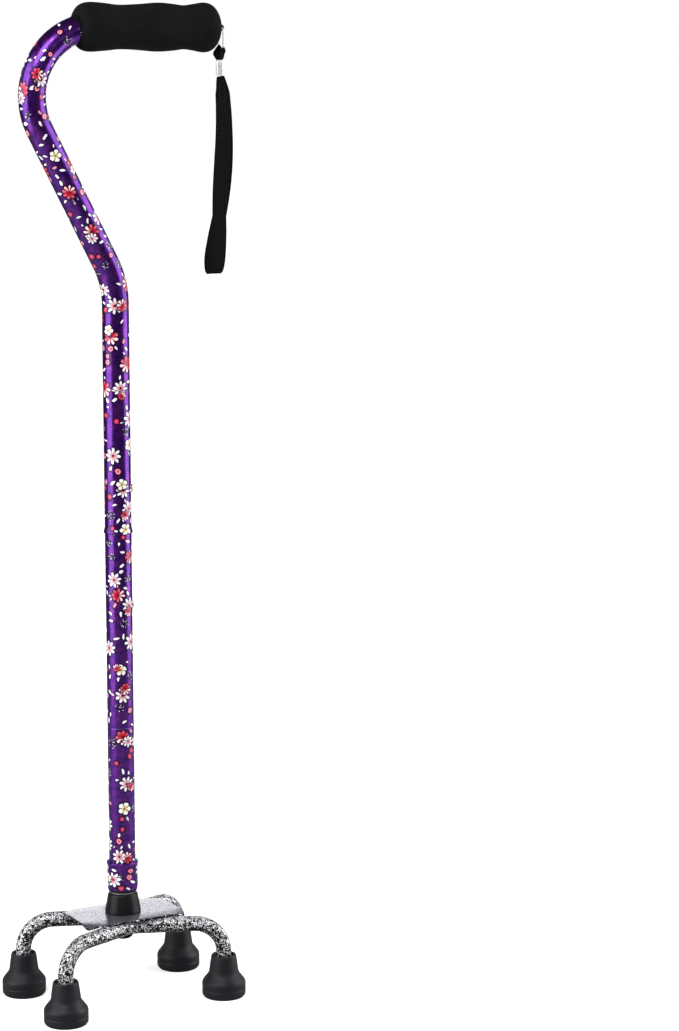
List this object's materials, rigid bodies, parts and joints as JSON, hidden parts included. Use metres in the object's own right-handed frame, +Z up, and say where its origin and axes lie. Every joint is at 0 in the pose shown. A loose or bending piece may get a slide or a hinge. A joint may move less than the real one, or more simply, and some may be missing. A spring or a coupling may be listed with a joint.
{
  "type": "quad walking cane",
  "caption": "Folding walking cane with a wide footed base, telescoping printed shaft, gooseneck handle with moulded foam grip, snap buttons and a wrist strap.",
  "frame": {"origin": "on the floor, under the middle of the cane's box without its strap", "axes": "+Z up; +X along the long side of the base and the grip, towards the grip's free end; +Y across the base, away from the near feet"},
  "size_m": [0.204, 0.125, 0.8317],
  "materials": {
    "printed_purple": "glossy purple lacquer with a small printed flower pattern",
    "vein_coat": "black and silver vein powder coat",
    "plate_coat": "light grey, finely grained powder coat",
    "bare_aluminium": "drawn tube, satin",
    "plated_steel": "zinc plated",
    "black_steel": "blackened",
    "black_plastic": "moulded, satin",
    "foot_rubber": "matte black rubber",
    "foam": "matte black closed-cell foam",
    "brass": "polished",
    "chrome": "polished",
    "webbing": "woven flat webbing",
    "elastic": "braided elastic cord"
  },
  "bodies": {
    "base": {"base_plate": "plate_coat", "front_leg_tube": "vein_coat", "rear_leg_tube": "vein_coat", "foot_front_left": "foot_rubber", "foot_front_right": "foot_rubber", "foot_rear_left": "foot_rubber", "foot_rear_right": "foot_rubber", "foot_disc_front_left": "plated_steel", "foot_disc_front_right": "plated_steel", "foot_disc_rear_left": "plated_steel", "foot_disc_rear_right": "plated_steel", "bolt_sleeve": "plated_steel", "bolt_washer": "plated_steel", "base_bolt": "black_steel", "base_boss": "black_plastic", "base_collar": "printed_purple", "shaft_plug": "black_plastic", "lower_shaft_tube": "printed_purple", "extension_tube": "bare_aluminium", "extension_bush": "black_plastic", "adjust_spring": "plated_steel"},
    "adjust_button": {"adjust_button": "brass"},
    "shaft": {"upper_shaft_tube": "printed_purple", "lock_spring": "plated_steel", "lower_cord_plug": "black_plastic", "elastic_cord": "elastic"},
    "lock_button": {"lock_button": "brass"},
    "handle": {"handle_tube": "printed_purple", "foam_grip": "foam", "grip_end_plug": "black_plastic", "upper_cord_plug": "black_plastic"},
    "ring": {"strap_ring": "chrome"},
    "strap": {"strap_loop": "webbing", "strap_crimp": "chrome", "wrist_strap": "webbing"}
  },
  "joints": [
    {"name": "height_adjust", "type": "slide", "parent": "base", "child": "shaft", "axis": [0, 0, 1], "range_m": [0, 0.0762], "deforming": ["adjust_spring", "adjust_button"]},
    {"name": "adjust_press", "type": "slide", "parent": "base", "child": "adjust_button", "axis": [-1, 0, 0], "range_m": [0, 0.004], "stiffness_N_per_m": 800},
    {"name": "handle_release", "type": "slide", "parent": "shaft", "child": "handle", "axis": [0, 0, 1], "range_m": [0, 0.06], "deforming": ["lock_spring", "lock_button", "elastic_cord"]},
    {"name": "lock_press", "type": "slide", "parent": "shaft", "child": "lock_button", "axis": [-1, 0, 0], "range_m": [0, 0.0044], "stiffness_N_per_m": 800},
    {"name": "ring_swing", "type": "hinge", "parent": "handle", "child": "ring", "pos_m": [0.0937, 0, 0.8115], "axis": [0, -1, 0], "range_deg": [-5, 100]},
    {"name": "strap_swing", "type": "hinge", "parent": "ring", "child": "strap", "pos_m": [0.0937, 0, 0.79485], "axis": [0, -1, 0], "range_deg": [-8, 60]}
  ]
}
